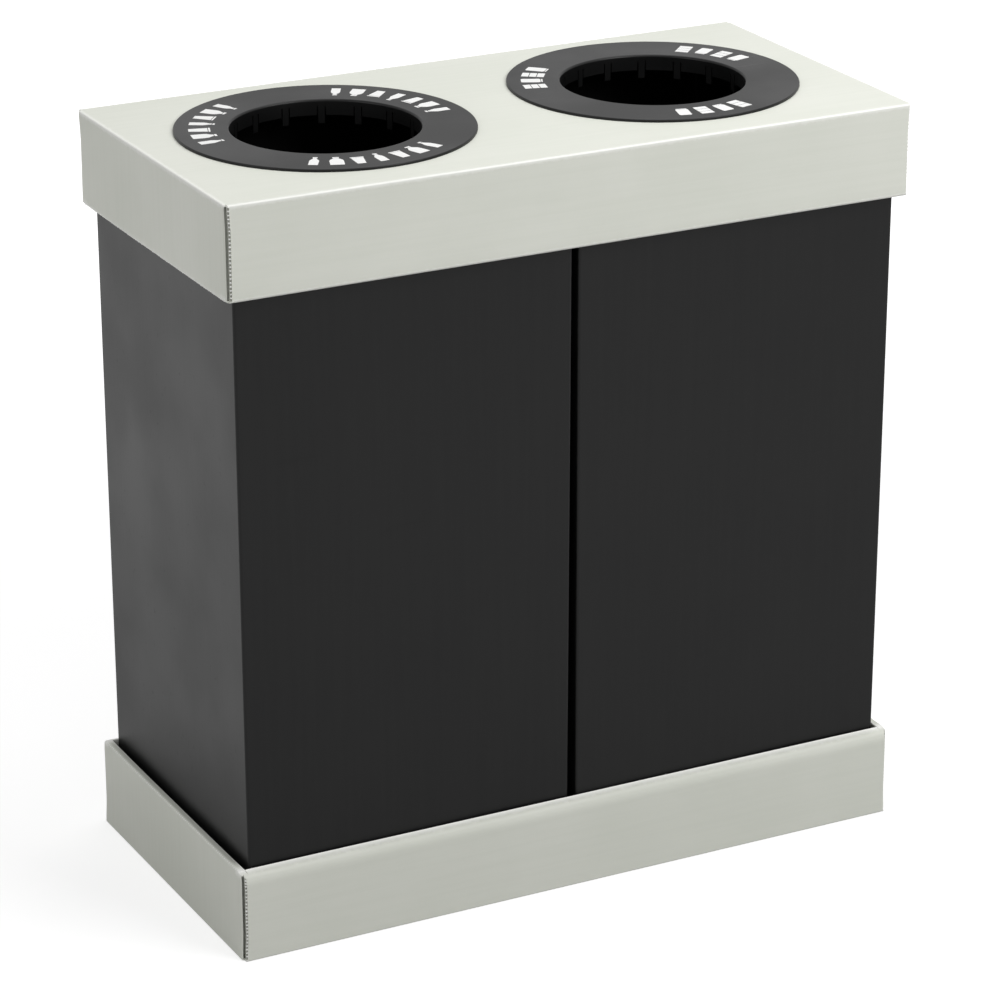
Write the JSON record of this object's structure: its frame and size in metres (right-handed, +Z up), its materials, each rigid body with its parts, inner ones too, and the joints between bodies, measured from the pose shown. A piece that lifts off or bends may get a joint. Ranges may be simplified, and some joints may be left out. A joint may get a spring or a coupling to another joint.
{
  "type": "double recycling bin",
  "caption": "Free-standing double recycling bin: two tall folded-board bins side by side in a tray, under a matching lid with two ringed round openings.",
  "frame": {"origin": "middle of the base tray's underside, on the floor", "axes": "+X to the right seen from the front, +Y to the back, +Z up"},
  "size_m": [0.78, 0.38, 0.816],
  "materials": {
    "tray_board": "pale grey fluted polypropylene board, satin",
    "bin_board": "black fluted polypropylene board, smooth satin",
    "ring_plastic": "dark grey moulded plastic, fine satin"
  },
  "bodies": {
    "base": {"base_tray": "tray_board"},
    "left_bin": {"bin_left": "bin_board"},
    "right_bin": {"bin_right": "bin_board"},
    "lid": {"lid_tray": "tray_board"},
    "left_ring": {"ring_left": "ring_plastic", "ring_collar_left": "ring_plastic"},
    "right_ring": {"ring_right": "ring_plastic", "ring_collar_right": "ring_plastic"}
  },
  "joints": [
    {"name": "left_bin_lift", "type": "slide", "parent": "base", "child": "left_bin", "axis": [0, 0, 1], "range_m": [0, 0.15]},
    {"name": "right_bin_lift", "type": "slide", "parent": "base", "child": "right_bin", "axis": [0, 0, 1], "range_m": [0, 0.15]},
    {"name": "lid_lift", "type": "slide", "parent": "left_bin", "child": "lid", "axis": [0, 0, 1], "range_m": [0, 0.15]},
    {"name": "left_ring_turn", "type": "hinge", "parent": "lid", "child": "left_ring", "pos_m": [-0.19075, 0.008, 0.813], "axis": [0, 0, 1], "continuous": true},
    {"name": "right_ring_turn", "type": "hinge", "parent": "lid", "child": "right_ring", "pos_m": [0.19075, 0.008, 0.813], "axis": [0, 0, 1], "continuous": true}
  ],
  "couplings": [
    {"joint": "right_bin_lift", "follows": "left_bin_lift", "ratio": 1}
  ]
}
